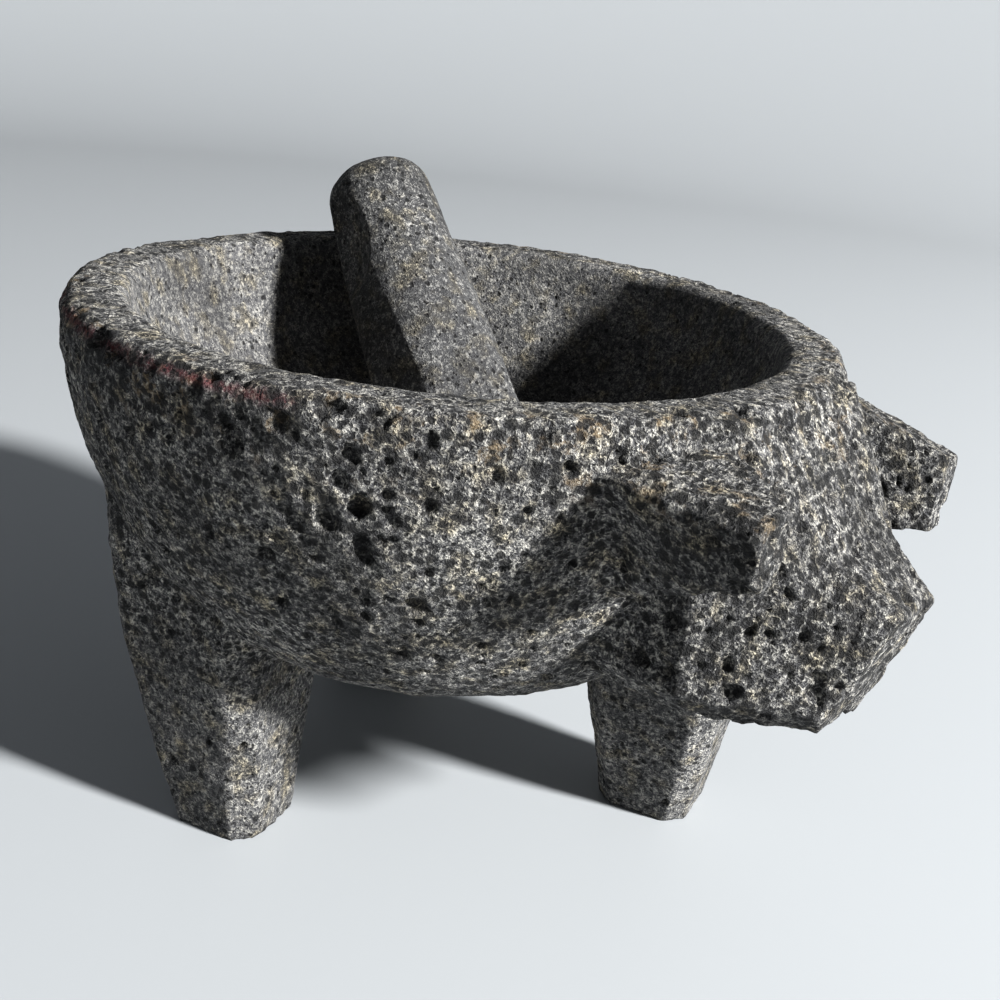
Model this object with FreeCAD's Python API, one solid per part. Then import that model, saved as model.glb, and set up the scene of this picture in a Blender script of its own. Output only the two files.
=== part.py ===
import FreeCAD, Part
import math
import os

from FreeCAD import Vector

# Molcajete: a three-legged mortar with a pig's head, carved from one block of basalt, and its
# hand-held pestle (tejolote). Millimetres, +Z up, +X towards the pig's head. The origin is on the
# bowl's axis, in the plane of the three feet.

# ---------------------------------------------------------------- driving dimensions
rim_diameter = 204.0        # outer diameter of the rim
rim_width = 16.0            # flat dressed ring between bowl and outer wall
rim_height = 140.0          # feet to rim
bowl_depth = 74.0           # rim to the bowl's lowest point
floor_thickness = 20.0      # stone under the bowl's lowest point
corner_thickness = 28.5     # stone where the underside turns up into the side
side_thickness = 23.0       # stone half way up the side
lip_height = 7.0            # height over which the outer edge of the rim is rounded off
lip_setback = 3.0           # how far that rounding reaches inwards
mouth_radius = 3.0          # rounding of the rim's inner edge

foot_side = 27.0            # square foot at the table
foot_corner = 5.0           # bevel on each corner of the foot
hip_side = 43.0             # square section where the leg reaches the belly
hip_corner = 6.0
hip_rise = 10.0             # height of that section above the belly's lowest point
thigh_side = 64.0           # square section where the leg has run into the side of the bowl
thigh_corner = 14.0
thigh_drop = 20.0           # how far that section lies below the rim
leg_twist = 12.0            # turn of the square sections about Z, degrees
# azimuth of each leg, and how far it stands inside the rim's edge, at foot, hip and thigh
leg_places = {
    "right_rear": {"foot": (-107.0, 41.0), "hip": (-112.0, 38.5), "thigh": (-116.0, 42.0)},
    "front": {"foot": (30.0, 31.0), "hip": (22.0, 32.0), "thigh": (20.0, 44.0)},
    "left_rear": {"foot": (143.0, 41.0), "hip": (143.0, 39.0), "thigh": (143.0, 43.0)},
}

# Sections across the head. A reach is measured outwards from the rim's edge, a drop down from
# the rim's height.
head_root_reach = -44.0     # inside the bowl's wall
head_root_width = 72.0
brow_reach = -3.0           # at the rim, where the forehead starts down
brow_width = 78.0
brow_drop = 1.5
brow_bottom_drop = 71.0
bridge_reach = 18.0         # where the forehead meets the snout
bridge_width = 50.0
bridge_drop = 30.0
bridge_bottom_drop = 71.0
snout_reach = 33.0          # blunt end of the snout
snout_width = 38.0
snout_drop = 41.0
snout_bottom_drop = 73.0
snout_rake = 11.0           # how far the snout's end slopes back at the bottom
snout_roll = 9.0            # the end of the snout is carved slightly askew, degrees
head_bevel = 8.0            # bevel along the head's long edges
snout_bevel = 5.0           # bevel on the corners of the snout's end

ear_root_reach = -20.0      # section of each ear inside the shoulder
ear_root_inner = 22.0       # distances from the head's middle plane
ear_root_outer = 58.0
ear_root_drop = 1.5
ear_root_slope = 7.0        # fall of the ear's top from its inner to its outer edge
ear_root_tuck = 12.0        # how far the ear's outer face leans in at the bottom
ear_root_bottom_drop = 44.0
ear_tip_tuck = 2.0          # blunt tip of each ear
ear_tip_slope = 1.0
ear_bevel = 3.0
# reach of each tip, its distances from the middle plane, and the drop to its top and bottom
ear_tips = {
    "right": {"side": -1.0, "reach": 19.0, "inner": 48.0, "outer": 60.5,
              "drop": 9.0, "bottom_drop": 25.0},
    "left": {"side": 1.0, "reach": 20.0, "inner": 43.0, "outer": 55.0,
             "drop": 17.5, "bottom_drop": 37.5},
}

pestle_length = 118.0
pestle_base_radius = 23.0   # round grinding end
pestle_grip_radius = 16.0   # narrow end, held in the hand
pestle_grip_edge = 9.0      # rounding of the narrow end
pestle_azimuth = 160.0      # direction in which the pestle leans, degrees
pestle_aside = 13.0         # distance of its plane of lean from the bowl's axis
pestle_seat = 15.0          # how far from the bowl's middle the grinding end rests, along the lean
stone_clearance = 0.4       # gap kept between pestle and mortar

# ---------------------------------------------------------------- derived sizes
rim_radius = rim_diameter / 2.0
mouth = rim_radius - rim_width
bowl_radius = (mouth ** 2 + bowl_depth ** 2) / (2.0 * bowl_depth)
bowl_centre_z = rim_height - bowl_depth + bowl_radius
belly_height = rim_height - bowl_depth - floor_thickness
Z_AXIS = Vector(0, 0, 1)


# ---------------------------------------------------------------- helpers
def polar(azimuth, radius, z):
    """Point at an azimuth in degrees and a distance from the Z axis."""
    angle = math.radians(azimuth)
    return Vector(radius * math.cos(angle), radius * math.sin(angle), z)


def revolve(edges):
    """Solid of revolution about Z of a closed outline in the XZ half plane."""
    face = Part.Face(Part.Wire(Part.__sortEdges__(edges)))
    return face.revolve(Vector(0, 0, 0), Z_AXIS, 360.0)


def bevelled(width, height, bevel):
    """Rectangle with bevelled corners about the origin, as eight (u, v) pairs."""
    u = width / 2.0
    v = height / 2.0
    return [(-u + bevel, -v), (u - bevel, -v), (u, -v + bevel), (u, v - bevel),
            (u - bevel, v), (-u + bevel, v), (-u, v - bevel), (-u, -v + bevel)]


def loft(sections):
    """Ruled solid through sections that have the same number of points."""
    wires = [Part.makePolygon(points + [points[0]]) for points in sections]
    return Part.makeLoft(wires, True, True)


def line(start, end):
    return Part.LineSegment(start, end).toShape()


def arc(start, middle, end):
    return Part.Arc(start, middle, end).toShape()


def wall_point(degrees_from_bottom, thickness):
    """Point of the outer wall: a stated thickness of stone outside the bowl's sphere."""
    angle = math.radians(degrees_from_bottom)
    radius = bowl_radius + thickness
    return Vector(radius * math.sin(angle), 0, bowl_centre_z - radius * math.cos(angle))


# ---------------------------------------------------------------- mortar
def make_body():
    """Outer shape of the bowl: flattened underside, bulging side and a flat rim."""
    bottom = Vector(0, 0, belly_height)
    corner = wall_point(38.0, corner_thickness)
    side = wall_point(58.0, side_thickness)
    lip_low = Vector(rim_radius, 0, rim_height - lip_height)
    lip_high = Vector(rim_radius - lip_setback, 0, rim_height)
    lip_middle = (lip_low + lip_high) * 0.5 + Vector(lip_height, 0, lip_setback) * 0.15
    wall = Part.BSplineCurve()
    wall.interpolate(Points=[bottom, corner, side, lip_low],
                     Tangents=[Vector(1, 0, 0)] + [Vector(0, 0, 0)] * 3,
                     TangentFlags=[True, False, False, False])
    top_centre = Vector(0, 0, rim_height)
    return revolve([wall.toShape(), arc(lip_low, lip_middle, lip_high),
                    line(lip_high, top_centre), line(top_centre, bottom)])


def make_leg(place):
    """Square tapering leg that runs on up into the body."""
    twist = math.radians(leg_twist)
    sections = []
    for name, height, side, bevel in (
            ("foot", 0.0, foot_side, foot_corner),
            ("hip", belly_height + hip_rise, hip_side, hip_corner),
            ("thigh", rim_height - thigh_drop, thigh_side, thigh_corner)):
        azimuth, inset = place[name]
        centre = polar(azimuth, rim_radius - inset, height)
        sections.append([centre + Vector(u * math.cos(twist) - v * math.sin(twist),
                                         u * math.sin(twist) + v * math.cos(twist), 0)
                         for u, v in bevelled(side, side, bevel)])
    return loft(sections)


def head_section(reach, width, drop, bottom_drop, bevel, rake=0.0, roll=0.0):
    """Bevelled upright section across the head, optionally raked back and rolled."""
    height = bottom_drop - drop
    middle = rim_height - (drop + bottom_drop) / 2.0
    turn = math.radians(roll)
    points = []
    for u, v in bevelled(width, height, bevel):
        y = u * math.cos(turn) - v * math.sin(turn)
        z = u * math.sin(turn) + v * math.cos(turn)
        points.append(Vector(rim_radius + reach - rake * (0.5 - z / height), y, middle + z))
    return points


def make_head():
    """Block of the head: forehead sloping down from the rim into a blunt snout."""
    return loft([
        head_section(head_root_reach, head_root_width, brow_drop, brow_bottom_drop, head_bevel),
        head_section(brow_reach, brow_width, brow_drop, brow_bottom_drop, head_bevel),
        head_section(bridge_reach, bridge_width, bridge_drop, bridge_bottom_drop, head_bevel),
        head_section(snout_reach, snout_width, snout_drop, snout_bottom_drop, snout_bevel,
                     snout_rake, -snout_roll),
    ])


def ear_section(side, reach, inner, outer, drop, bottom_drop, slope, tuck):
    """Upright section across one ear, its outer corners bevelled; side is -1 for the right."""
    top = rim_height - drop
    bottom = rim_height - bottom_drop
    outline = [(inner, bottom), (outer - tuck - ear_bevel, bottom),
               (outer - tuck, bottom + ear_bevel), (outer, top - slope - ear_bevel),
               (outer - ear_bevel, top - slope), (inner, top)]
    return [Vector(rim_radius + reach, side * y, z) for y, z in outline]


def make_ear(tip):
    """Wedge-shaped ear that points forwards from the shoulder of the bowl."""
    return loft([
        ear_section(tip["side"], ear_root_reach, ear_root_inner, ear_root_outer,
                    ear_root_drop, ear_root_bottom_drop, ear_root_slope, ear_root_tuck),
        ear_section(tip["side"], tip["reach"], tip["inner"], tip["outer"],
                    tip["drop"], tip["bottom_drop"], ear_tip_slope, ear_tip_tuck),
    ])


def make_bowl_space():
    """Space inside the bowl: part of a sphere, its edge rounded at the rim, open upwards."""
    bottom = Vector(0, 0, bowl_centre_z - bowl_radius)
    edge_z = rim_height - mouth_radius
    edge = math.sqrt(bowl_radius ** 2 - (bowl_centre_z - edge_z) ** 2)
    edge_low = Vector(edge, 0, edge_z)
    edge_high = Vector(mouth + mouth_radius, 0, rim_height)
    edge_middle = (edge_low + edge_high) * 0.5 + Vector(-0.2, 0, 0.2) * mouth_radius
    angle = math.asin(edge / bowl_radius) / 2.0
    half_way = Vector(bowl_radius * math.sin(angle), 0,
                      bowl_centre_z - bowl_radius * math.cos(angle))
    above = rim_height + bowl_depth
    return revolve([arc(bottom, half_way, edge_low), arc(edge_low, edge_middle, edge_high),
                    line(edge_high, Vector(edge_high.x, 0, above)),
                    line(Vector(edge_high.x, 0, above), Vector(0, 0, above)),
                    line(Vector(0, 0, above), bottom)])


def make_mortar():
    """The one-piece mortar: bowl, three legs, head and two ears."""
    solid = make_body().multiFuse([make_leg(place) for place in leg_places.values()]
                                  + [make_head()]
                                  + [make_ear(tip) for tip in ear_tips.values()])
    return solid.cut(make_bowl_space()).removeSplitter()


# ---------------------------------------------------------------- pestle
def pestle_profile():
    """Closed outline of the upright pestle, its grinding end's centre at the origin."""
    taper = math.asin((pestle_base_radius - pestle_grip_radius) / pestle_length)
    tangent_low = Vector(pestle_base_radius * math.cos(taper), 0,
                         pestle_base_radius * math.sin(taper))
    top = pestle_length - pestle_base_radius
    shoulder = Vector(pestle_grip_radius, 0, top - pestle_grip_edge)
    crown = Vector(pestle_grip_radius - pestle_grip_edge, 0, top - 1.0)
    shoulder_middle = (shoulder + crown) * 0.5 + Vector(0.2, 0, 0.2) * pestle_grip_edge
    low = Vector(0, 0, -pestle_base_radius)
    low_angle = (math.pi / 2.0 + taper) / 2.0
    low_middle = Vector(pestle_base_radius * math.sin(low_angle), 0,
                        -pestle_base_radius * math.cos(low_angle))
    return [arc(low, low_middle, tangent_low), line(tangent_low, shoulder),
            arc(shoulder, shoulder_middle, crown), line(crown, Vector(0, 0, top)),
            line(Vector(0, 0, top), low)], taper


def make_pestle():
    """Pestle at rest: its round end on the bowl's floor, its side leaning on the rim."""
    profile, taper = pestle_profile()
    reach = pestle_base_radius + stone_clearance
    # In the upright plane of lean, the bowl is a circle and its mouth a chord.
    plane_radius = math.sqrt((bowl_radius - reach) ** 2 - pestle_aside ** 2)
    seat_z = bowl_centre_z - math.sqrt(plane_radius ** 2 - pestle_seat ** 2)
    mouth_reach = math.sqrt(mouth ** 2 - pestle_aside ** 2)
    distance = math.hypot(mouth_reach - pestle_seat, rim_height - seat_z)
    to_mouth = math.atan2(rim_height - seat_z, mouth_reach - pestle_seat)
    elevation = to_mouth + math.asin(reach / distance) - taper
    solid = revolve(profile)
    solid.rotate(Vector(0, 0, 0), Vector(0, 1, 0), 90.0 - math.degrees(elevation))
    solid.translate(Vector(pestle_seat, -pestle_aside, seat_z))
    solid.rotate(Vector(0, 0, 0), Z_AXIS, pestle_azimuth)
    return solid


# ---------------------------------------------------------------- build
def main():
    os.makedirs("parts", exist_ok=True)
    for node, shape in (("mortar", make_mortar()), ("pestle", make_pestle())):
        if not shape.isValid() or len(shape.Solids) != 1:
            raise RuntimeError(node + " is not one valid solid")
        shape.Solids[0].exportStep("parts/" + node + ".step")
        box = shape.BoundBox
        print(node, "volume cm3", round(shape.Volume / 1000.0, 1), "box",
              [round(value, 1) for value in (box.XMin, box.XMax, box.YMin, box.YMax,
                                             box.ZMin, box.ZMax)])


main()
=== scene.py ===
"""Molcajete: a basalt mortar carved as a pig, with its loose pestle.

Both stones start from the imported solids, are re-meshed finely, and are then carved: uneven hand
dressing, chipped edges and the gas bubbles (vesicles) of basalt are real relief in the mesh.
"""

import logging
import math
from dataclasses import dataclass, field
from enum import Enum

import bmesh
import bpy
import numpy as np
from mathutils import Matrix, Vector


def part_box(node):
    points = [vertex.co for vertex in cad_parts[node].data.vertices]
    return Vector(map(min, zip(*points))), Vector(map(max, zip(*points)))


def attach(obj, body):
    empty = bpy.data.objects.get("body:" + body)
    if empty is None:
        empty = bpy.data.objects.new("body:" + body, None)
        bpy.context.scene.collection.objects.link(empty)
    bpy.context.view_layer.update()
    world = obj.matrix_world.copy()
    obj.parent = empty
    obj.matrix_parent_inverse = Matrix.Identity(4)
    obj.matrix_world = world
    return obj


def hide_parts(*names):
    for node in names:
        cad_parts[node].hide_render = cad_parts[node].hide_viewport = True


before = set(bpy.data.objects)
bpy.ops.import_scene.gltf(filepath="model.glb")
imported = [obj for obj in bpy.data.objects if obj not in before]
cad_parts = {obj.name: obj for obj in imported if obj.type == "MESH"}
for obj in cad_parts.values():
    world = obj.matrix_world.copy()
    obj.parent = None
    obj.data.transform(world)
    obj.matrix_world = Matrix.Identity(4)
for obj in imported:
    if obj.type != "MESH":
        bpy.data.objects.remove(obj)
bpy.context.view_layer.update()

LOG = logging.getLogger("molcajete")
MM = 0.001


# ------------------------------------------------------------------------------------ helpers
def linear(hex_colour: str) -> tuple[float, float, float, float]:
    """Turn an sRGB hex value into the linear colour that shaders work in.

    Args:
        hex_colour: six hex digits, with or without a leading #.

    Returns:
        Red, green, blue and alpha, linear, 0 to 1.
    """
    digits = hex_colour.lstrip("#")
    channels = [int(digits[i:i + 2], 16) / 255.0 for i in (0, 2, 4)]
    curve = [c / 12.92 if c <= 0.04045 else ((c + 0.055) / 1.055) ** 2.4 for c in channels]
    return (curve[0], curve[1], curve[2], 1.0)


def add_node(tree: bpy.types.NodeTree, kind: str, settings: dict | None = None,
             inputs: dict | None = None) -> bpy.types.Node:
    """Add a node with its settings, constants and links.

    Args:
        tree: the node tree that gets the node.
        kind: Blender's class name of the node.
        settings: attribute name to value.
        inputs: input name or number to a constant, or to the output socket that feeds it.

    Returns:
        The new node.
    """
    node = tree.nodes.new(kind)
    for name, value in (settings or {}).items():
        setattr(node, name, value)
    for key, value in (inputs or {}).items():
        socket = node.inputs[key]
        if isinstance(value, bpy.types.NodeSocket):
            tree.links.new(value, socket)
        else:
            socket.default_value = value
    return node


def smoothstep(low: float, high: float, values: np.ndarray) -> np.ndarray:
    """Blend from 0 at low to 1 at high.

    Args:
        low: value where the blend starts.
        high: value where it ends, above or below low.
        values: the values to blend.

    Returns:
        Shares from 0 to 1.
    """
    share = np.clip((values - low) / (high - low), 0.0, 1.0)
    return share * share * (3.0 - 2.0 * share)


def vertex_array(mesh: bpy.types.Mesh) -> np.ndarray:
    """Read a mesh's points.

    Args:
        mesh: the mesh to read.

    Returns:
        An (n, 3) array, in metres.
    """
    points = np.zeros(len(mesh.vertices) * 3)
    mesh.vertices.foreach_get("co", points)
    return points.reshape(-1, 3)


def store_points(mesh: bpy.types.Mesh, points: np.ndarray) -> None:
    """Write an array back as a mesh's points.

    Args:
        mesh: the mesh that gets the points.
        points: an (n, 3) array, in metres.
    """
    mesh.vertices.foreach_set("co", points.astype(np.float32).ravel())
    mesh.update()


def store_weight(mesh: bpy.types.Mesh, name: str, weights: np.ndarray) -> None:
    """Store one number per vertex under a name.

    Args:
        mesh: the mesh that gets the numbers.
        name: the attribute's name.
        weights: one value per vertex.
    """
    attribute = mesh.attributes.new(name, "FLOAT", "POINT")
    attribute.data.foreach_set("value", weights.astype(np.float32))


def applied(obj: bpy.types.Object) -> None:
    """Turn an object's live modifiers into plain mesh and remove them.

    Args:
        obj: the object, which keeps its name and gets the new mesh.
    """
    depsgraph = bpy.context.evaluated_depsgraph_get()
    mesh = bpy.data.meshes.new_from_object(obj.evaluated_get(depsgraph), depsgraph=depsgraph,
                                           preserve_all_data_layers=True)
    obj.modifiers.clear()
    old = obj.data
    obj.data = mesh
    bpy.data.meshes.remove(old)


# ------------------------------------------------------------------------------------ finishes
class Grain(Enum):
    """How open a basalt is, with its sRGB colours from dark glass to palest crystal."""

    OPEN = ("#151517", "#3f3f41", "#6f6e6c", "#bdbab2")
    TIGHT = ("#1d1d1f", "#313132", "#4e4e4d", "#a5a39e")


@dataclass(frozen=True)
class Basalt:
    """Vesicular basalt: dark grey groundmass, pale feldspar specks, bubbles with painted shade.

    The outside is hammer-dressed and open; the bowl, the rim's top and the pestle are rubbed
    tighter by use. Cut basalt is matt. It sparkles a little only where single crystals face the
    light, so the finish has high roughness and gets its life from specks, pits and fine relief.
    The near-black inside bubbles, pores and carved hollows is painted shade, darker the deeper.
    A tan skin of weathering clings to the rim's rough edge, and a red line drawn to lay out the
    rim has worn to traces; both are colour only.

    Sizes are in millimetres. Groundmass crystals are a tenth of a millimetre in the real stone:
    dust_mm and clump_mm are coarser, because nothing finer shows. Specks, bubbles and pores
    stand as far apart as real ones.
    """

    name: str
    grain: Grain
    roughness: float = 0.88
    ior: float = 1.5
    warm_hex: str = "#fff6e0"
    # Painted shade: the near-black laid into bubbles, pores and carved hollows.
    rubbed_hex: str = "#454546"
    pit_shade_hex: str = "#040405"
    crust_hex: str = "#9a8564"
    pigment_hex: str = "#6a0f1a"
    clump_mm: float = 1.8
    dust_mm: float = 0.5
    speck_mm: float = 1.2
    bubble_mm: float = 2.7
    pore_mm: float = 1.5
    tint_mm: float = 6.0
    stain_mm: float = 7.0
    mottle_mm: float = 24.0
    relief_mm: float = 1.0
    # How far, and over what distance, outlines are shaken out of round.
    shake_mm: float = 1.3
    shake_size_mm: float = 1.6
    shake_layers: float = 3.0
    # Largest hollow as a share of its cell, and the share that tight stone still has.
    bubble_reach: float = 0.74
    pore_reach: float = 0.68
    least_open: float = 0.38
    smallest_hollow: float = 0.02
    # Where on the grain each of the four colours stands, and how much of the grain is dust.
    grain_stops: tuple[float, float, float, float] = (0.40, 0.45, 0.53, 0.61)
    dust_share: float = 0.36
    clump_layers: float = 5.0
    clump_ruggedness: float = 0.72
    dust_layers: float = 1.0
    dust_ruggedness: float = 0.6
    # Largest speck as a share of its cell; the rarity, a power, makes most specks small.
    speck_reach: float = 0.45
    speck_rarity: float = 3.0
    speck_strength: float = 0.6
    rubbed_strength: float = 0.6
    tint_layers: float = 3.0
    warm_range: tuple[float, float] = (0.5, 0.68)
    mottle_layers: float = 4.0
    mottle_range: tuple[float, float] = (0.3, 0.7)
    mottle_gain: tuple[float, float] = (0.6, 1.4)
    stain_layers: float = 6.0
    stain_ruggedness: float = 0.65
    crust_range: tuple[float, float] = (0.54, 0.66)
    crust_strength: float = 0.6
    pigment_range: tuple[float, float] = (0.36, 0.5)
    pigment_strength: float = 0.65
    # Painted shade in hollows: the share for carved ones, and the share for all at their deepest.
    carved_shade_strength: float = 0.85
    pit_shade_strength: float = 0.9
    # Shares of relief_mm: grain on tight stone, what open stone adds, and both hollows.
    grain_rise: float = 1.2
    open_rise: float = 2.6
    bubble_sink: float = 0.5
    pore_sink: float = 0.3

    def build(self) -> bpy.types.Material:
        """Make the node material.

        Returns:
            The finished material.
        """
        material = bpy.data.materials.new(self.name)
        material.use_nodes = True
        tree = material.node_tree
        tree.nodes.clear()
        place = self._place(tree)
        coarse = add_node(tree, "ShaderNodeAttribute", {"attribute_name": "coarse"}).outputs["Fac"]
        bubbles = self._holes(tree, place, self.bubble_mm, self.bubble_reach, coarse)
        pores = self._holes(tree, place, self.pore_mm, self.pore_reach, coarse)
        grain = self._grain(tree, place)
        colour = self._groundmass(tree, place, grain, coarse)
        colour = self._stains(tree, place, colour)
        # Painted shade: bubbles, pores and carved hollows are darkened towards near-black.
        colour = self._paint_pit_shade(tree, colour, bubbles, pores)
        height = self._height(tree, grain, bubbles, pores, coarse)
        bump = add_node(tree, "ShaderNodeBump", {},
                        {"Strength": 1.0, "Distance": self.relief_mm * MM, "Height": height})
        shader = add_node(tree, "ShaderNodeBsdfPrincipled", {},
                          {"Base Color": colour, "Roughness": self.roughness, "IOR": self.ior,
                           "Normal": bump.outputs["Normal"]})
        add_node(tree, "ShaderNodeOutputMaterial", {}, {"Surface": shader.outputs["BSDF"]})
        return material

    def _math(self, tree: bpy.types.NodeTree, operation: str, first: object,
              second: object = 0.0, third: object = 0.0) -> bpy.types.NodeSocket:
        """Work out one sum and give its output socket.

        Args:
            tree: the material's tree.
            operation: a Math node's operation.
            first: constant or socket.
            second: constant or socket.
            third: constant or socket.

        Returns:
            The result's socket.
        """
        node = add_node(tree, "ShaderNodeMath", {"operation": operation},
                        {0: first, 1: second, 2: third})
        return node.outputs[0]

    def _blend(self, tree: bpy.types.NodeTree, share: object, first: object,
               second: object) -> bpy.types.NodeSocket:
        """Mix two colours by a share.

        Args:
            tree: the material's tree.
            share: how much of the second colour shows, 0 to 1, constant or socket.
            first: colour or socket.
            second: colour or socket.

        Returns:
            The mixed colour's socket.
        """
        node = add_node(tree, "ShaderNodeMix", {"data_type": "RGBA"},
                        {0: share, 6: first, 7: second})
        return node.outputs[2]

    def _place(self, tree: bpy.types.NodeTree) -> bpy.types.NodeSocket:
        """Shake the object's coordinates, so that no grain or hollow has a clean outline.

        Args:
            tree: the material's tree.

        Returns:
            The coordinates' socket, in metres.
        """
        source = add_node(tree, "ShaderNodeTexCoord").outputs["Object"]
        shake = add_node(tree, "ShaderNodeTexNoise", {},
                         {"Vector": source, "Scale": 1.0 / (self.shake_size_mm * MM),
                          "Detail": self.shake_layers})
        centred = add_node(tree, "ShaderNodeVectorMath", {"operation": "SUBTRACT"},
                           {0: shake.outputs["Color"], 1: (0.5, 0.5, 0.5)})
        scaled = add_node(tree, "ShaderNodeVectorMath", {"operation": "SCALE"},
                          {0: centred.outputs[0], "Scale": self.shake_mm * MM})
        return add_node(tree, "ShaderNodeVectorMath", {"operation": "ADD"},
                        {0: source, 1: scaled.outputs[0]}).outputs[0]

    def _holes(self, tree: bpy.types.NodeTree, place: bpy.types.NodeSocket, spacing_mm: float,
               reach: float, coarse: bpy.types.NodeSocket) -> bpy.types.NodeSocket:
        """Hollows of uneven size, one in most cells of a given spacing.

        Args:
            tree: the material's tree.
            place: coordinates in metres.
            spacing_mm: average distance between hollows.
            reach: largest radius as a share of the spacing.
            coarse: how open the stone is here, 0 to 1.

        Returns:
            Depth of the hollow, 0 at its lip to 1 at its middle.
        """
        cells = add_node(tree, "ShaderNodeTexVoronoi", {"feature": "F1"},
                         {"Vector": place, "Scale": 1.0 / (spacing_mm * MM)})
        lot = add_node(tree, "ShaderNodeSeparateColor", {}, {0: cells.outputs["Color"]})
        openness = self._math(tree, "MULTIPLY_ADD", coarse, 1.0 - self.least_open,
                              self.least_open)
        radius = self._math(tree, "MULTIPLY", lot.outputs[0], openness)
        radius = self._math(tree, "MULTIPLY", radius, reach)
        inside = self._math(tree, "DIVIDE", cells.outputs["Distance"],
                            self._math(tree, "MAXIMUM", radius, self.smallest_hollow))
        return add_node(tree, "ShaderNodeMapRange", {"interpolation_type": "SMOOTHSTEP"},
                        {0: inside, 1: 1.0, 2: 0.5, 3: 0.0, 4: 1.0}).outputs[0]

    def _grain(self, tree: bpy.types.NodeTree,
               place: bpy.types.NodeSocket) -> bpy.types.NodeSocket:
        """Break up clumps of crystals with dust-fine grain.

        Args:
            tree: the material's tree.
            place: coordinates in metres.

        Returns:
            The grain's socket, from 0, dark and sunk, to 1, pale and proud.
        """
        clumps = add_node(tree, "ShaderNodeTexNoise", {},
                          {"Vector": place, "Scale": 1.0 / (self.clump_mm * MM),
                           "Detail": self.clump_layers,
                           "Roughness": self.clump_ruggedness}).outputs["Fac"]
        dust = add_node(tree, "ShaderNodeTexNoise", {},
                        {"Vector": place, "Scale": 1.0 / (self.dust_mm * MM),
                         "Detail": self.dust_layers,
                         "Roughness": self.dust_ruggedness}).outputs["Fac"]
        return self._math(tree, "MULTIPLY_ADD", dust, self.dust_share,
                          self._math(tree, "MULTIPLY", clumps, 1.0 - self.dust_share))

    def _groundmass(self, tree: bpy.types.NodeTree, place: bpy.types.NodeSocket,
                    grain: bpy.types.NodeSocket,
                    coarse: bpy.types.NodeSocket) -> bpy.types.NodeSocket:
        """Colour of the solid stone: grain, pale crystals, warm clumps and broad mottling.

        Args:
            tree: the material's tree.
            place: coordinates in metres.
            grain: how pale the grain is, 0 to 1.
            coarse: how open the stone is here, 0 to 1; rubbed stone is more even.

        Returns:
            The colour's socket.
        """
        ramp = add_node(tree, "ShaderNodeValToRGB", {}, {0: grain})
        self._stops(ramp, list(zip(self.grain_stops, self.grain.value)))
        crystals = add_node(tree, "ShaderNodeTexVoronoi", {"feature": "F1"},
                            {"Vector": place, "Scale": 1.0 / (self.speck_mm * MM)})
        lot = add_node(tree, "ShaderNodeSeparateColor", {}, {0: crystals.outputs["Color"]})
        radius = self._math(tree, "POWER", lot.outputs[1], self.speck_rarity)
        radius = self._math(tree, "MULTIPLY", radius, self.speck_reach)
        inside = self._math(tree, "LESS_THAN", crystals.outputs["Distance"], radius)
        fine = self._blend(tree, self._math(tree, "MULTIPLY", inside, self.speck_strength),
                           ramp.outputs[0], linear(self.grain.value[-1]))
        rubbed = self._math(tree, "MULTIPLY_ADD", coarse, -self.rubbed_strength,
                            self.rubbed_strength)
        rubbed = self._math(tree, "MAXIMUM", rubbed, 0.0)
        fine = self._blend(tree, rubbed, fine, linear(self.rubbed_hex))
        clouds = add_node(tree, "ShaderNodeTexNoise", {},
                          {"Vector": place, "Scale": 1.0 / (self.tint_mm * MM),
                           "Detail": self.tint_layers})
        warm = add_node(tree, "ShaderNodeMapRange", {},
                        {0: clouds.outputs["Fac"], 1: self.warm_range[0],
                         2: self.warm_range[1], 3: 0.0, 4: 1.0}).outputs[0]
        tinted = add_node(tree, "ShaderNodeMix", {"data_type": "RGBA", "blend_type": "MULTIPLY"},
                          {0: warm, 6: fine, 7: linear(self.warm_hex)}).outputs[2]
        broad = add_node(tree, "ShaderNodeTexNoise", {},
                         {"Vector": place, "Scale": 1.0 / (self.mottle_mm * MM),
                          "Detail": self.mottle_layers})
        gain = add_node(tree, "ShaderNodeMapRange", {},
                        {0: broad.outputs["Fac"], 1: self.mottle_range[0],
                         2: self.mottle_range[1], 3: self.mottle_gain[0],
                         4: self.mottle_gain[1]}).outputs[0]
        return add_node(tree, "ShaderNodeVectorMath", {"operation": "SCALE"},
                        {0: tinted, "Scale": gain}).outputs[0]

    def _stops(self, ramp: bpy.types.Node, stops: list[tuple[float, str]]) -> None:
        """Give a colour ramp its stops.

        Args:
            ramp: a ColorRamp node.
            stops: position and sRGB hex colour of each stop.
        """
        elements = ramp.color_ramp.elements
        while len(elements) < len(stops):
            elements.new(1.0)
        for element, (position, colour) in zip(elements, stops):
            element.position = position
            element.color = linear(colour)

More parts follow.
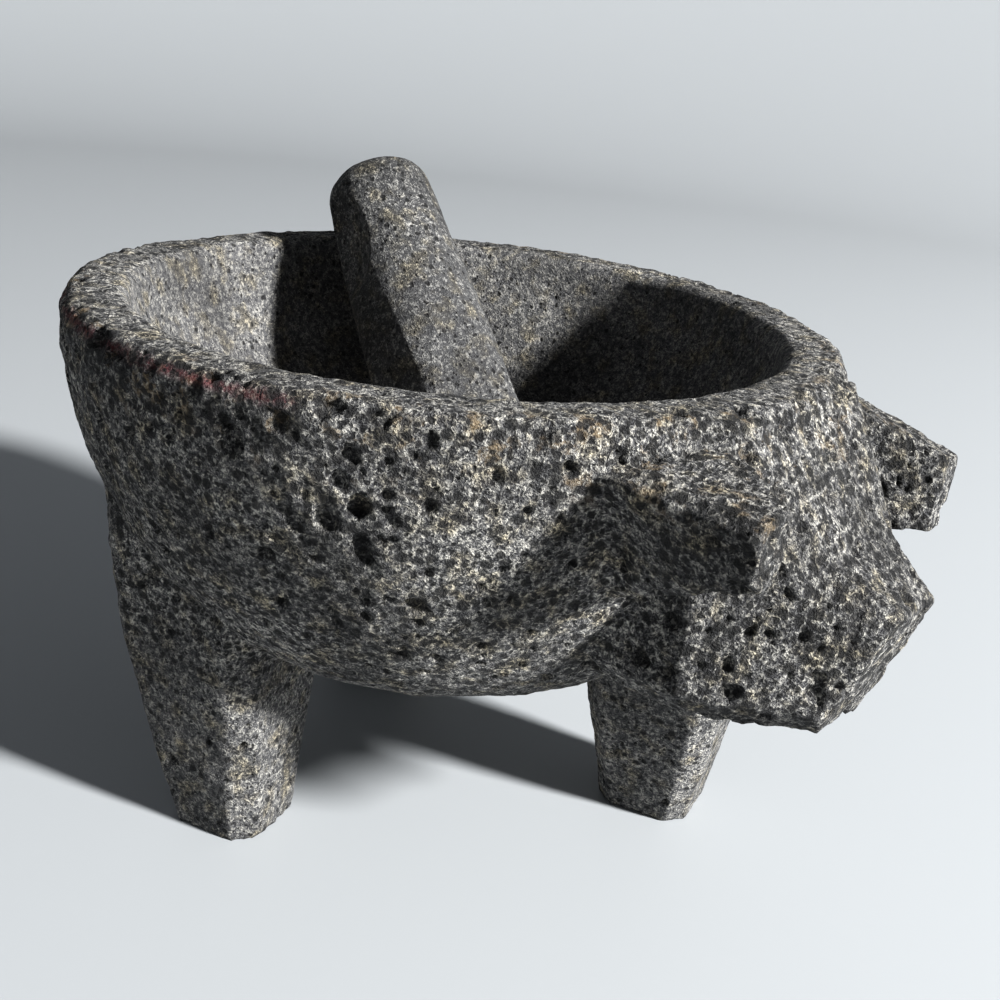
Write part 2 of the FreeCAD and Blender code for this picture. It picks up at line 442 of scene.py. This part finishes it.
    def _stains(self, tree: bpy.types.NodeTree, place: bpy.types.NodeSocket,
                colour: bpy.types.NodeSocket) -> bpy.types.NodeSocket:
        """Lay the tan weathering crust and the red layout line over the stone.

        Args:
            tree: the material's tree.
            place: coordinates in metres.
            colour: the clean stone's colour.

        Returns:
            The stained colour's socket.
        """
        breaks = add_node(tree, "ShaderNodeTexNoise", {},
                          {"Vector": place, "Scale": 1.0 / (self.stain_mm * MM),
                           "Detail": self.stain_layers, "Roughness": self.stain_ruggedness})
        for name, hex_colour, worn_range, strength in (
                ("crust", self.crust_hex, self.crust_range, self.crust_strength),
                ("pigment", self.pigment_hex, self.pigment_range, self.pigment_strength)):
            mask = add_node(tree, "ShaderNodeAttribute", {"attribute_name": name}).outputs["Fac"]
            worn = add_node(tree, "ShaderNodeMapRange", {"interpolation_type": "SMOOTHSTEP"},
                            {0: breaks.outputs["Fac"], 1: worn_range[0], 2: worn_range[1],
                             3: 0.0, 4: strength})
            share = self._math(tree, "MULTIPLY", mask, worn.outputs[0])
            colour = self._blend(tree, share, colour, linear(hex_colour))
        return colour

    def _paint_pit_shade(self, tree: bpy.types.NodeTree, colour: bpy.types.NodeSocket,
                  bubbles: bpy.types.NodeSocket,
                  pores: bpy.types.NodeSocket) -> bpy.types.NodeSocket:
        """Paint shade into the stone's hollows, small ones and carved ones alike, darker the
        deeper.

        Args:
            tree: the material's tree.
            colour: the stone's colour outside hollows.
            bubbles: large hollows, 0 to 1.
            pores: small hollows, 0 to 1.

        Returns:
            The colour's socket, with the painted shade in the hollows.
        """
        carved = add_node(tree, "ShaderNodeAttribute", {"attribute_name": "hollow"}).outputs["Fac"]
        deep = self._math(tree, "MAXIMUM", bubbles, pores)
        deep = self._math(tree, "MAXIMUM", deep,
                          self._math(tree, "MULTIPLY", carved, self.carved_shade_strength))
        return self._blend(tree, self._math(tree, "MULTIPLY", deep, self.pit_shade_strength), colour,
                           linear(self.pit_shade_hex))

    def _height(self, tree: bpy.types.NodeTree, grain: bpy.types.NodeSocket,
                bubbles: bpy.types.NodeSocket, pores: bpy.types.NodeSocket,
                coarse: bpy.types.NodeSocket) -> bpy.types.NodeSocket:
        """Fine relief: pale grain standing proud, hollows sunk.

        Args:
            tree: the material's tree.
            grain: how proud the grain stands, 0 to 1.
            bubbles: large hollows, 0 to 1.
            pores: small hollows, 0 to 1.
            coarse: how open the stone is here, 0 to 1.

        Returns:
            The height's socket, in shares of the relief.
        """
        rough = self._math(tree, "MULTIPLY_ADD", coarse, self.open_rise, self.grain_rise)
        level = self._math(tree, "MULTIPLY", grain, rough)
        level = self._math(tree, "SUBTRACT", level,
                           self._math(tree, "MULTIPLY", bubbles, self.bubble_sink))
        return self._math(tree, "SUBTRACT", level,
                          self._math(tree, "MULTIPLY", pores, self.pore_sink))


@dataclass(frozen=True)
class FloorLaminate:
    """Smooth pale laminate: pressed, satin-matt, with no grain or gloss to draw the eye."""

    name: str = "floor_pale_laminate"
    base_hex: str = "#a2a5a7"
    roughness: float = 0.55

    def build(self) -> bpy.types.Material:
        """Make the node material.

        Returns:
            The finished material.
        """
        material = bpy.data.materials.new(self.name)
        material.use_nodes = True
        tree = material.node_tree
        tree.nodes.clear()
        shader = add_node(tree, "ShaderNodeBsdfPrincipled", {},
                          {"Base Color": linear(self.base_hex), "Roughness": self.roughness})
        add_node(tree, "ShaderNodeOutputMaterial", {}, {"Surface": shader.outputs["BSDF"]})
        return material


# ------------------------------------------------------------------------------------ carving
@dataclass
class Carving:
    """Geometry Nodes tree that carves hand-dressed, bubbly stone into a fine mesh.

    The surface swells and sinks gently, carries a rougher chisel grain, and is sunk wherever it
    cuts through a bubble. The tree's inputs are in metres. Only bubbles of about 3 mm and over
    are carved; smaller ones are left to the finish.
    """

    bubble_spacing: float = 7.0 * MM
    bubble_radius: float = 2.7 * MM
    bubble_depth: float = 2.0 * MM
    pit_spacing: float = 4.2 * MM
    pit_radius: float = 1.5 * MM
    pit_depth: float = 1.2 * MM
    swell: float = 0.9 * MM
    swell_size: float = 30.0 * MM
    tooling: float = 0.9 * MM
    tooling_size: float = 5.0 * MM
    seed: float = 3.0
    # Bubble outlines are stirred by this share of a cell, at this many ripples per cell.
    stir: float = 0.55
    ripples: float = 2.2
    # Shares of bubble size and chisel grain that the tightest stone still has.
    least_bubble: float = 0.15
    least_tooling: float = 0.2
    # Powers that make most bubbles small and shallow, and a few large and deep.
    size_rarity: float = 1.5
    depth_rarity: float = 0.5
    smallest_bubble: float = 0.01
    # How many finer layers each of the random heights has.
    swell_layers: float = 2.0
    tooling_layers: float = 4.0
    ripple_layers: float = 2.0
    tree: bpy.types.NodeTree | None = field(default=None, init=False)

    INPUTS = ("bubble_spacing", "bubble_radius", "bubble_depth", "pit_spacing", "pit_radius",
              "pit_depth", "swell", "swell_size", "tooling", "tooling_size", "seed")

    def build(self, name: str) -> bpy.types.NodeTree:
        """Build the tree.

        Args:
            name: the tree's name.

        Returns:
            The finished tree.
        """
        tree = bpy.data.node_groups.new(name, "GeometryNodeTree")
        self.tree = tree
        tree.interface.new_socket("Geometry", in_out="INPUT", socket_type="NodeSocketGeometry")
        for label in self.INPUTS:
            tree.interface.new_socket(label, in_out="INPUT", socket_type="NodeSocketFloat")
        tree.interface.new_socket("stone", in_out="INPUT", socket_type="NodeSocketMaterial")
        tree.interface.new_socket("Geometry", in_out="OUTPUT", socket_type="NodeSocketGeometry")
        given = add_node(tree, "NodeGroupInput").outputs
        place = add_node(tree, "GeometryNodeInputPosition").outputs[0]
        shift = add_node(tree, "ShaderNodeCombineXYZ", {}, {0: given["seed"], 1: given["seed"]})
        coarse = add_node(tree, "GeometryNodeInputNamedAttribute", {"data_type": "FLOAT"},
                          {"Name": "coarse"}).outputs["Attribute"]
        bubbles = self._holes(place, shift.outputs[0], given["bubble_spacing"],
                              given["bubble_radius"], coarse)
        pits = self._holes(place, shift.outputs[0], given["pit_spacing"], given["pit_radius"],
                           coarse)
        sunk = self._math("ADD", self._math("MULTIPLY", bubbles, given["bubble_depth"]),
                          self._math("MULTIPLY", pits, given["pit_depth"]))
        swell = self._noise(place, shift.outputs[0], given["swell_size"], given["swell"],
                            self.swell_layers)
        grain = self._noise(place, shift.outputs[0], given["tooling_size"], given["tooling"],
                            self.tooling_layers)
        grain = self._math("MULTIPLY", grain,
                           self._math("MULTIPLY_ADD", coarse, 1.0 - self.least_tooling,
                                      self.least_tooling))
        height = self._math("SUBTRACT", self._math("ADD", swell, grain), sunk)
        normal = add_node(tree, "GeometryNodeInputNormal").outputs[0]
        offset = add_node(tree, "ShaderNodeVectorMath", {"operation": "SCALE"},
                          {0: normal, "Scale": height})
        # The hollows' depth, which the finish darkens as painted shade.
        kept = add_node(tree, "GeometryNodeStoreNamedAttribute",
                        {"data_type": "FLOAT", "domain": "POINT"},
                        {"Geometry": given["Geometry"], "Name": "hollow",
                         "Value": self._math("MAXIMUM", bubbles, pits)})
        moved = add_node(tree, "GeometryNodeSetPosition", {},
                         {"Geometry": kept.outputs[0], "Offset": offset.outputs[0]})
        real = add_node(tree, "GeometryNodeRealizeInstances", {}, {0: moved.outputs[0]})
        dressed = add_node(tree, "GeometryNodeSetMaterial", {},
                           {"Geometry": real.outputs[0], "Material": given["stone"]})
        add_node(tree, "NodeGroupOutput", {}, {0: dressed.outputs[0]})
        return tree

    def _math(self, operation: str, first: object, second: object = 0.0,
              third: object = 0.0) -> bpy.types.NodeSocket:
        """Work out one sum and give its output socket."""
        return add_node(self.tree, "ShaderNodeMath", {"operation": operation},
                        {0: first, 1: second, 2: third}).outputs[0]

    def _scaled(self, place: bpy.types.NodeSocket, shift: bpy.types.NodeSocket,
                size: bpy.types.NodeSocket) -> bpy.types.NodeSocket:
        """Count positions in cells of a given size, moved by the seed.

        Args:
            place: positions in metres.
            shift: the seed as a vector.
            size: width of a cell, in metres.

        Returns:
            The scaled positions' socket.
        """
        count = self._math("DIVIDE", 1.0, size)
        scaled = add_node(self.tree, "ShaderNodeVectorMath", {"operation": "SCALE"},
                          {0: place, "Scale": count})
        return add_node(self.tree, "ShaderNodeVectorMath", {"operation": "ADD"},
                        {0: scaled.outputs[0], 1: shift}).outputs[0]

    def _noise(self, place: bpy.types.NodeSocket, shift: bpy.types.NodeSocket,
               size: bpy.types.NodeSocket, height: bpy.types.NodeSocket,
               detail: float) -> bpy.types.NodeSocket:
        """Draw smooth random heights, as much below zero as above.

        Args:
            place: positions in metres.
            shift: the seed as a vector.
            size: distance over which the height changes.
            height: largest height.
            detail: how many finer layers the heights have.

        Returns:
            The heights' socket, in metres.
        """
        noise = add_node(self.tree, "ShaderNodeTexNoise", {},
                         {"Vector": self._scaled(place, shift, size), "Scale": 1.0,
                          "Detail": detail})
        centred = self._math("MULTIPLY_ADD", noise.outputs[0], 2.0, -1.0)
        return self._math("MULTIPLY", centred, height)

    def _holes(self, place: bpy.types.NodeSocket, shift: bpy.types.NodeSocket,
               spacing: bpy.types.NodeSocket, radius: bpy.types.NodeSocket,
               coarse: bpy.types.NodeSocket) -> bpy.types.NodeSocket:
        """Depth of the bubbles that the surface cuts through, 0 outside to 1 at their middle.

        Args:
            place: positions in metres.
            shift: the seed as a vector.
            spacing: average distance between bubbles.
            radius: largest radius of a bubble.
            coarse: how open the stone is here, 0 to 1.

        Returns:
            The depth's socket.
        """
        where = self._scaled(place, shift, spacing)
        stir = add_node(self.tree, "ShaderNodeTexNoise", {},
                        {"Vector": where, "Scale": self.ripples, "Detail": self.ripple_layers})
        warped = add_node(self.tree, "ShaderNodeVectorMath", {"operation": "MULTIPLY_ADD"},
                          {0: stir.outputs["Color"], 1: (self.stir,) * 3, 2: where})
        cells = add_node(self.tree, "ShaderNodeTexVoronoi", {"feature": "F1"},
                         {"Vector": warped.outputs[0], "Scale": 1.0})
        lot = add_node(self.tree, "FunctionNodeSeparateColor", {}, {0: cells.outputs["Color"]})
        size = self._math("POWER", lot.outputs[0], self.size_rarity)
        size = self._math("MULTIPLY", size, self._math("DIVIDE", radius, spacing))
        size = self._math("MULTIPLY", size,
                          self._math("MULTIPLY_ADD", coarse, 1.0 - self.least_bubble,
                                     self.least_bubble))
        inside = self._math("DIVIDE", cells.outputs["Distance"],
                            self._math("MAXIMUM", size, self.smallest_bubble))
        dome = self._math("SUBTRACT", 1.0, self._math("MULTIPLY", inside, inside))
        depth = self._math("SQRT", self._math("MAXIMUM", dome, 0.0))
        return self._math("MULTIPLY", depth,
                          self._math("POWER", lot.outputs[0], self.depth_rarity))

    def fit(self, obj: bpy.types.Object, stone: bpy.types.Material) -> None:
        """Carve an object's mesh.

        Args:
            obj: the object whose mesh is carved.
            stone: the material that the carved mesh gets.
        """
        tree = self.tree or self.build("carving_" + obj.name)
        modifier = obj.modifiers.new("carving", "NODES")
        modifier.node_group = tree
        sockets = {item.name: item.identifier for item in tree.interface.items_tree
                   if item.item_type == "SOCKET" and item.in_out == "INPUT"}
        for label in self.INPUTS:
            modifier[sockets[label]] = float(getattr(self, label))
        modifier[sockets["stone"]] = stone
        applied(obj)


# ------------------------------------------------------------------------------------ stones
@dataclass
class Stone:
    """One carved stone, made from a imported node."""

    node: str
    body: str
    slot: str
    finish: Basalt
    carving: Carving
    piece_name: str
    voxel: float
    softening: int
    softening_share: float = 0.5
    weld: float = 0.002 * MM
    triangle_budget: int = 190_000
    obj: bpy.types.Object | None = field(default=None, init=False)

    def build(self) -> bpy.types.Object:
        """Make the stone.

        Returns:
            The finished piece.
        """
        self._blank()
        self._shape()
        self._zones()
        self.carving.fit(self.obj, self.finish.build())
        self._settle()
        self._thin_out()
        self._hand_over()
        LOG.info("%s: %d triangles", self.obj.name, len(self.obj.data.polygons))
        return self.obj

    def _blank(self) -> None:
        """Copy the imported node, close it, and re-mesh it finely with softened edges."""
        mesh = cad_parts[self.node].data.copy()
        mesh.materials.clear()
        shell = bmesh.new()
        shell.from_mesh(mesh)
        bmesh.ops.remove_doubles(shell, verts=shell.verts, dist=self.weld)
        shell.to_mesh(mesh)
        shell.free()
        self.obj = bpy.data.objects.new(self.piece_name, mesh)
        bpy.context.scene.collection.objects.link(self.obj)
        remesh = self.obj.modifiers.new("remesh", "REMESH")
        remesh.mode = "VOXEL"
        remesh.voxel_size = self.voxel
        soften = self.obj.modifiers.new("soften", "SMOOTH")
        soften.factor = self.softening_share
        soften.iterations = self.softening
        applied(self.obj)

    def _shape(self) -> None:
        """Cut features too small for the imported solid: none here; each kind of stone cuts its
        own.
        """

    def _zones(self) -> None:
        """Store that the stone is open all over; each kind of stone stores its own zones."""
        count = len(self.obj.data.vertices)
        store_weight(self.obj.data, "coarse", np.ones(count))

    def _settle(self) -> None:
        """Rub flat whatever lies below the table."""
        points = vertex_array(self.obj.data)
        points[:, 2] = np.maximum(points[:, 2], 0.0)
        store_points(self.obj.data, points)

    def _thin_out(self) -> None:
        """Bring the mesh under its triangle budget."""
        triangulate = self.obj.modifiers.new("triangulate", "TRIANGULATE")
        triangulate.quad_method = "SHORTEST_DIAGONAL"
        applied(self.obj)
        share = self.triangle_budget / len(self.obj.data.polygons)
        if share < 1.0:
            decimate = self.obj.modifiers.new("thin_out", "DECIMATE")
            decimate.ratio = share
            applied(self.obj)
        self.obj.data.polygons.foreach_set("use_smooth", [True] * len(self.obj.data.polygons))

    def _hand_over(self) -> None:
        """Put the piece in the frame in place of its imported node."""
        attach(self.obj, self.body)
        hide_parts(self.node)

    def _dent(self, centre: Vector, radius: float) -> None:
        """Knock a shallow scoop out of the surface with a ball.

        Args:
            centre: middle of the ball.
            radius: the ball's radius, in metres.
        """
        points = vertex_array(self.obj.data)
        away = points - np.array(centre)
        distance = np.linalg.norm(away, axis=1)
        inside = distance < radius
        push = radius / np.maximum(distance[inside], 1e-6)
        points[inside] = np.array(centre) + away[inside] * push[:, None]
        store_points(self.obj.data, points)


@dataclass
class Mortar(Stone):
    """Bowl, legs and pig's head, carved from one block."""

    rim_width: float = 16.0 * MM
    bowl_depth: float = 74.0 * MM
    chips: int = 46
    chip_seed: int = 11
    # Radii and bites of the chips are drawn between these, in millimetres.
    chip_radii: tuple[float, float] = (3.0, 8.0)
    chip_bites: tuple[float, float] = (0.5, 1.6)
    # A chip is struck from outside and above: shares of its standoff that lie out and up.
    chip_out: float = 0.75
    chip_up: float = 0.55
    line_width: float = 0.7 * MM
    line_azimuths: tuple[float, float] = (-128.0, -72.0)
    line_fade: float = 4.0
    line_inset: float = 1.0 * MM
    feeler: float = 2.0 * MM
    leg_top: float = 62.0 * MM
    leg_below: float = 46.0 * MM
    # How much tighter than the open side the rubbed bowl, its rim and the legs are, and how
    # much opener the head and the broken edge.
    bowl_tight: float = 0.85
    rim_tight: float = 0.1
    leg_tight: float = 0.5
    edge_open: float = 0.35
    # Where each zone starts and is complete, in millimetres: past the bowl's sphere, below the
    # rim's top (drop), in from the rim's outside (inset) and out past it (reach).
    bowl_fade: tuple[float, float] = (3.0, 0.5)
    rim_drop: tuple[float, float] = (3.0, 1.0)
    rim_inset: tuple[float, float] = (1.0, 4.0)
    head_reach: tuple[float, float] = (-6.0, 8.0)
    edge_drop: tuple[float, float] = (22.0, 4.0)
    edge_inset: tuple[float, float] = (9.0, 2.0)
    line_drop: tuple[float, float] = (5.0, 2.5)
    # How far a hollow's middle stands off the side, as a share of its radius.
    hollow_standoff: float = 0.2
    # Azimuth in degrees, drop below the rim and radius, both in millimetres.
    hollows: tuple[tuple[float, float, float], ...] = (
        (-66.0, 26.5, 3.6), (-70.0, 29.0, 2.8), (-62.0, 22.0, 3.0), (-64.5, 17.0, 2.6),
        (-58.0, 25.0, 2.2), (-78.0, 14.0, 3.2), (-88.0, 16.0, 2.6), (-47.0, 12.0, 2.4),
        (-120.0, 20.0, 3.0), (-152.0, 24.0, 2.6), (165.0, 18.0, 3.2), (120.0, 28.0, 3.0),
        (95.0, 15.0, 2.6), (72.0, 30.0, 3.2), (55.0, 18.0, 2.4))

    def _sizes(self) -> tuple[float, float, Vector, float]:
        """Read the rim's radius and height, and the bowl's sphere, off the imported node.

        Returns:
            Rim radius, rim height, the bowl sphere's centre and its radius, in metres.
        """
        _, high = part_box(self.node)
        rim_radius, rim_height = high.y, high.z
        mouth = rim_radius - self.rim_width
        sphere = (mouth ** 2 + self.bowl_depth ** 2) / (2.0 * self.bowl_depth)
        centre = Vector((0, 0, rim_height - self.bowl_depth + sphere))
        return rim_radius, rim_height, centre, sphere

    def _shape(self) -> None:
        """Chip the edges of the rim, and sink the side's large hollows one by one."""
        rim_radius, rim_height, _, _ = self._sizes()
        draw = np.random.default_rng(self.chip_seed)
        for _ in range(self.chips):
            azimuth = draw.uniform(-math.pi, math.pi)
            radius = draw.uniform(*self.chip_radii) * MM
            bite = draw.uniform(*self.chip_bites) * MM
            reach = rim_radius + (radius - bite) * self.chip_out
            height = rim_height + (radius - bite) * self.chip_up
            self._dent(Vector((reach * math.cos(azimuth), reach * math.sin(azimuth), height)),
                       radius)
        for degrees, drop, size in self.hollows:
            azimuth, radius = math.radians(degrees), size * MM
            reach = (self._skin(azimuth, rim_height - drop * MM)
                     + self.hollow_standoff * radius)
            self._dent(Vector((reach * math.cos(azimuth), reach * math.sin(azimuth),
                               rim_height - drop * MM)), radius)

    def _skin(self, azimuth: float, height: float) -> float:
        """Find how far the outer side lies from the bowl's axis.

        Args:
            azimuth: direction from the axis, in radians.
            height: height above the table, in metres.

        Returns:
            The distance, in metres.
        """
        points = vertex_array(self.obj.data)
        aim = np.array([math.cos(azimuth), math.sin(azimuth)])
        along = points[:, :2] @ aim
        across = np.abs(points[:, 0] * aim[1] - points[:, 1] * aim[0])
        near = ((across < self.feeler) & (np.abs(points[:, 2] - height) < self.feeler)
                & (along > 0))
        return float(along[near].max())

    def _zones(self) -> None:
        """Dressed bowl and rim, open outside, crusted edge and red layout line."""
        rim_radius, rim_height, centre, sphere = self._sizes()
        points = vertex_array(self.obj.data)
        outward = np.hypot(points[:, 0], points[:, 1])
        azimuth = np.degrees(np.arctan2(points[:, 1], points[:, 0]))
        in_bowl = smoothstep(sphere + self.bowl_fade[0] * MM, sphere + self.bowl_fade[1] * MM,
                             np.linalg.norm(points - np.array(centre), axis=1))
        on_rim = (smoothstep(rim_height - self.rim_drop[0] * MM,
                             rim_height - self.rim_drop[1] * MM, points[:, 2])
                  * smoothstep(rim_radius - self.rim_inset[0] * MM,
                               rim_radius - self.rim_inset[1] * MM, outward))
        on_leg = smoothstep(self.leg_top, self.leg_below, points[:, 2])
        coarse = 1.0 - self.bowl_tight * np.maximum(in_bowl, self.rim_tight * on_rim)
        coarse = coarse * (1.0 - self.leg_tight * on_leg)
        on_head = smoothstep(rim_radius + self.head_reach[0] * MM,
                             rim_radius + self.head_reach[1] * MM, points[:, 0])
        edge = (smoothstep(rim_height - self.edge_drop[0] * MM,
                           rim_height - self.edge_drop[1] * MM, points[:, 2])
                * smoothstep(rim_radius - self.edge_inset[0] * MM,
                             rim_radius - self.edge_inset[1] * MM, outward))
        coarse = coarse * (1.0 + self.edge_open * np.maximum(on_head, edge))
        start, end = self.line_azimuths
        painted = (smoothstep(start - self.line_fade, start, azimuth)
                   * smoothstep(end + self.line_fade, end, azimuth))
        band = np.exp(-((outward - rim_radius + self.line_inset) / self.line_width) ** 2)
        band = band * smoothstep(rim_height - self.line_drop[0] * MM,
                                 rim_height - self.line_drop[1] * MM, points[:, 2])
        store_weight(self.obj.data, "coarse", coarse)
        store_weight(self.obj.data, "crust", edge)
        store_weight(self.obj.data, "pigment", band * painted)


@dataclass
class Pestle(Stone):
    """Loose, tapered hand stone, worn smooth by the hand."""

    facet_bite: float = 2.86 * MM
    facet_share: float = 0.8
    facet_percentile: float = 99.0
    shaft_half: float = 44.0 * MM
    # Turn about the axis in degrees, lean towards the axis, and bite in shares of facet_bite.
    facets: tuple[tuple[float, float, float], ...] = (
        (25.0, 0.02, 1.0), (95.0, -0.03, 1.3), (160.0, 0.03, 0.9), (215.0, 0.01, 1.4),
        (285.0, -0.02, 1.0), (335.0, 0.02, 0.7))
    scar_towards: tuple[float, float, float] = (-0.40, -0.89, 0.09)
    scar_height: float = 38.0 * MM
    scar_ball: float = 36.0 * MM
    scar_skin: float = 12.5 * MM
    grip_height: float = 60.0 * MM
    base_open: float = 0.25
    grip_open: float = 0.3

    def _axis(self) -> tuple[np.ndarray, np.ndarray]:
        """Find the stone's own axis.

        Returns:
            Its middle and the unit vector towards its upper end.
        """
        points = vertex_array(self.obj.data)
        middle = points.mean(axis=0)
        _, _, directions = np.linalg.svd(points - middle, full_matrices=False)
        along = directions[0] * np.sign(directions[0][2])
        return middle, along

    def _shape(self) -> None:
        """Flatten the shaft into long, shallow facets, and take a flake off near the grip."""
        middle, along = self._axis()
        side = np.cross(along, [0.0, 0.0, 1.0])
        side /= np.linalg.norm(side)
        over = np.cross(side, along)
        points = vertex_array(self.obj.data)
        for turn_degrees, tilt, bite in self.facets:
            turn = math.radians(turn_degrees)
            face = side * math.cos(turn) + over * math.sin(turn) + along * tilt
            face /= np.linalg.norm(face)
            reach = (points - middle) @ face
            shaft = np.abs((points - middle) @ along) < self.shaft_half
            limit = np.percentile(reach[shaft], self.facet_percentile) - bite * self.facet_bite
            over_by = np.maximum(reach - limit, 0.0)
            points -= np.outer(over_by * self.facet_share, face)
        store_points(self.obj.data, points)
        scar = np.array(self.scar_towards)
        scar -= along * (scar @ along)
        scar /= np.linalg.norm(scar)
        ball = middle + along * self.scar_height + scar * (self.scar_ball + self.scar_skin)
        self._dent(Vector(ball), self.scar_ball)

    def _zones(self) -> None:
        """Tight stone all over, a little more open towards the grip."""
        middle, along = self._axis()
        points = vertex_array(self.obj.data)
        height = (points - middle) @ along
        openness = self.base_open + self.grip_open * smoothstep(0.0, self.grip_height, height)
        store_weight(self.obj.data, "coarse", openness)
        store_weight(self.obj.data, "crust", np.zeros(len(points)))
        store_weight(self.obj.data, "pigment", np.zeros(len(points)))


# ------------------------------------------------------------------------------------ studio
@dataclass(frozen=True)
class Lamp:
    """A round soft lamp that points at the middle of the mortar."""

    name: str
    azimuth: float
    elevation: float
    distance: float
    size: float
    watts: float
    aim_height: float = 0.08

    def build(self) -> None:
        """Hang the lamp."""
        data = bpy.data.lights.new(self.name, "AREA")
        data.shape = "DISK"
        data.size = self.size
        data.energy = self.watts
        lamp = bpy.data.objects.new(self.name, data)
        bpy.context.scene.collection.objects.link(lamp)
        turn, rise = math.radians(self.azimuth), math.radians(self.elevation)
        target = Vector((0.0, 0.0, self.aim_height))
        towards = Vector((math.cos(turn) * math.cos(rise), math.sin(turn) * math.cos(rise),
                          math.sin(rise)))
        lamp.location = target + towards * self.distance
        lamp.rotation_euler = (-towards).to_track_quat("-Z", "Y").to_euler()


@dataclass
class Studio:
    """Pale floor, soft key from the head's side, broad weak fill, and the camera."""

    floor_radius: float = 1.4
    floor_inner: float = 0.3
    floor_turns: int = 96
    sweep: float = 0.8
    sweep_steps: int = 12
    lamps: tuple[Lamp, ...] = (
        Lamp("key", azimuth=8.0, elevation=27.0, distance=3.2, size=0.333, watts=345.0),
        Lamp("fill", azimuth=-75.0, elevation=40.0, distance=1.6, size=1.2, watts=0.3))
    sky_hex: str = "#e2e7f0"
    sky_strength: float = 0.17
    camera_place: tuple[float, float, float] = (0.2097, -0.2717, 0.2147)
    camera_azimuth: float = 125.0
    camera_pitch: float = 20.7
    camera_roll: float = 6.36
    lens_mm: float = 46.8

    def build(self) -> None:
        """Set up floor, lights and camera, with plain tones that keep the stone's contrast."""
        bpy.context.scene.view_settings.view_transform = "Standard"
        bpy.context.scene.view_settings.look = "Medium High Contrast"
        self._floor()
        self._sky()
        for lamp in self.lamps:
            lamp.build()
        self._camera()

    def _floor(self) -> None:
        """A flat round sheet that curves up all round, far away, so that no horizon shows."""
        profile = [(0.0, 0.0), (self.floor_inner, 0.0), (self.floor_radius, 0.0)]
        for step in range(1, self.sweep_steps + 1):
            turn = math.radians(90.0 / self.sweep_steps * step)
            profile.append((self.floor_radius + self.sweep * math.sin(turn),
                            self.sweep * (1.0 - math.cos(turn))))
        shell = bmesh.new()
        points = [shell.verts.new((radius, 0.0, height)) for radius, height in profile]
        edges = [shell.edges.new(pair) for pair in zip(points, points[1:])]
        bmesh.ops.spin(shell, geom=points + edges, cent=(0, 0, 0), axis=(0, 0, 1),
                       angle=2.0 * math.pi, steps=self.floor_turns, use_duplicate=False)
        bmesh.ops.remove_doubles(shell, verts=shell.verts, dist=0.1 * MM)
        bmesh.ops.recalc_face_normals(shell, faces=shell.faces)
        if min(shell.faces, key=lambda face: face.calc_center_median().length).normal.z < 0:
            bmesh.ops.reverse_faces(shell, faces=shell.faces)
        mesh = bpy.data.meshes.new("floor")
        shell.to_mesh(mesh)
        shell.free()
        mesh.polygons.foreach_set("use_smooth", [True] * len(mesh.polygons))
        floor = bpy.data.objects.new("floor", mesh)
        bpy.context.scene.collection.objects.link(floor)
        mesh.materials.append(FloorLaminate().build())

    def _sky(self) -> None:
        """Even pale surroundings."""
        world = bpy.data.worlds.new("studio")
        world.use_nodes = True
        world.node_tree.nodes.clear()
        sky = add_node(world.node_tree, "ShaderNodeBackground", {},
                       {"Color": linear(self.sky_hex), "Strength": self.sky_strength})
        add_node(world.node_tree, "ShaderNodeOutputWorld", {}, {"Surface": sky.outputs[0]})
        bpy.context.scene.world = world

    def _camera(self) -> None:
        """A hand-held three-quarter view, slightly rolled."""
        yaw, pitch = math.radians(self.camera_azimuth), math.radians(self.camera_pitch)
        ahead = Vector((math.cos(yaw) * math.cos(pitch), math.sin(yaw) * math.cos(pitch),
                        -math.sin(pitch)))
        level = ahead.cross(Vector((0, 0, 1))).normalized()
        above = level.cross(ahead)
        roll = math.radians(self.camera_roll)
        right = level * math.cos(roll) + above * math.sin(roll)
        up = above * math.cos(roll) - level * math.sin(roll)
        data = bpy.data.cameras.new("camera")
        data.lens = self.lens_mm
        camera = bpy.data.objects.new("camera", data)
        bpy.context.scene.collection.objects.link(camera)
        turn = Matrix((right, up, -ahead)).transposed().to_4x4()
        camera.matrix_world = Matrix.Translation(Vector(self.camera_place)) @ turn
        bpy.context.scene.camera = camera


# ------------------------------------------------------------------------------------ main
def main() -> None:
    """Build both stones and the studio."""
    logging.basicConfig(level=logging.INFO, format="%(name)s: %(message)s")
    Studio().build()
    stones = [
        Mortar(node="mortar", body="mortar", slot="mortar_basalt", piece_name="mortar_stone",
               finish=Basalt("basalt_mortar_dressed", Grain.OPEN), carving=Carving(),
               voxel=0.95 * MM, softening=1),
        Pestle(node="pestle", body="pestle", slot="pestle_basalt", piece_name="pestle_stone",
               finish=Basalt("basalt_pestle_worn", Grain.TIGHT),
               carving=Carving(bubble_radius=1.6 * MM, bubble_depth=1.0 * MM, pit_depth=0.7 * MM,
                               swell=0.7 * MM, swell_size=18.0 * MM, tooling=0.5 * MM, seed=8.0),
               voxel=0.6 * MM, softening=4),
    ]
    for stone in stones:
        stone.build()


if __name__ == "__main__":
    main()
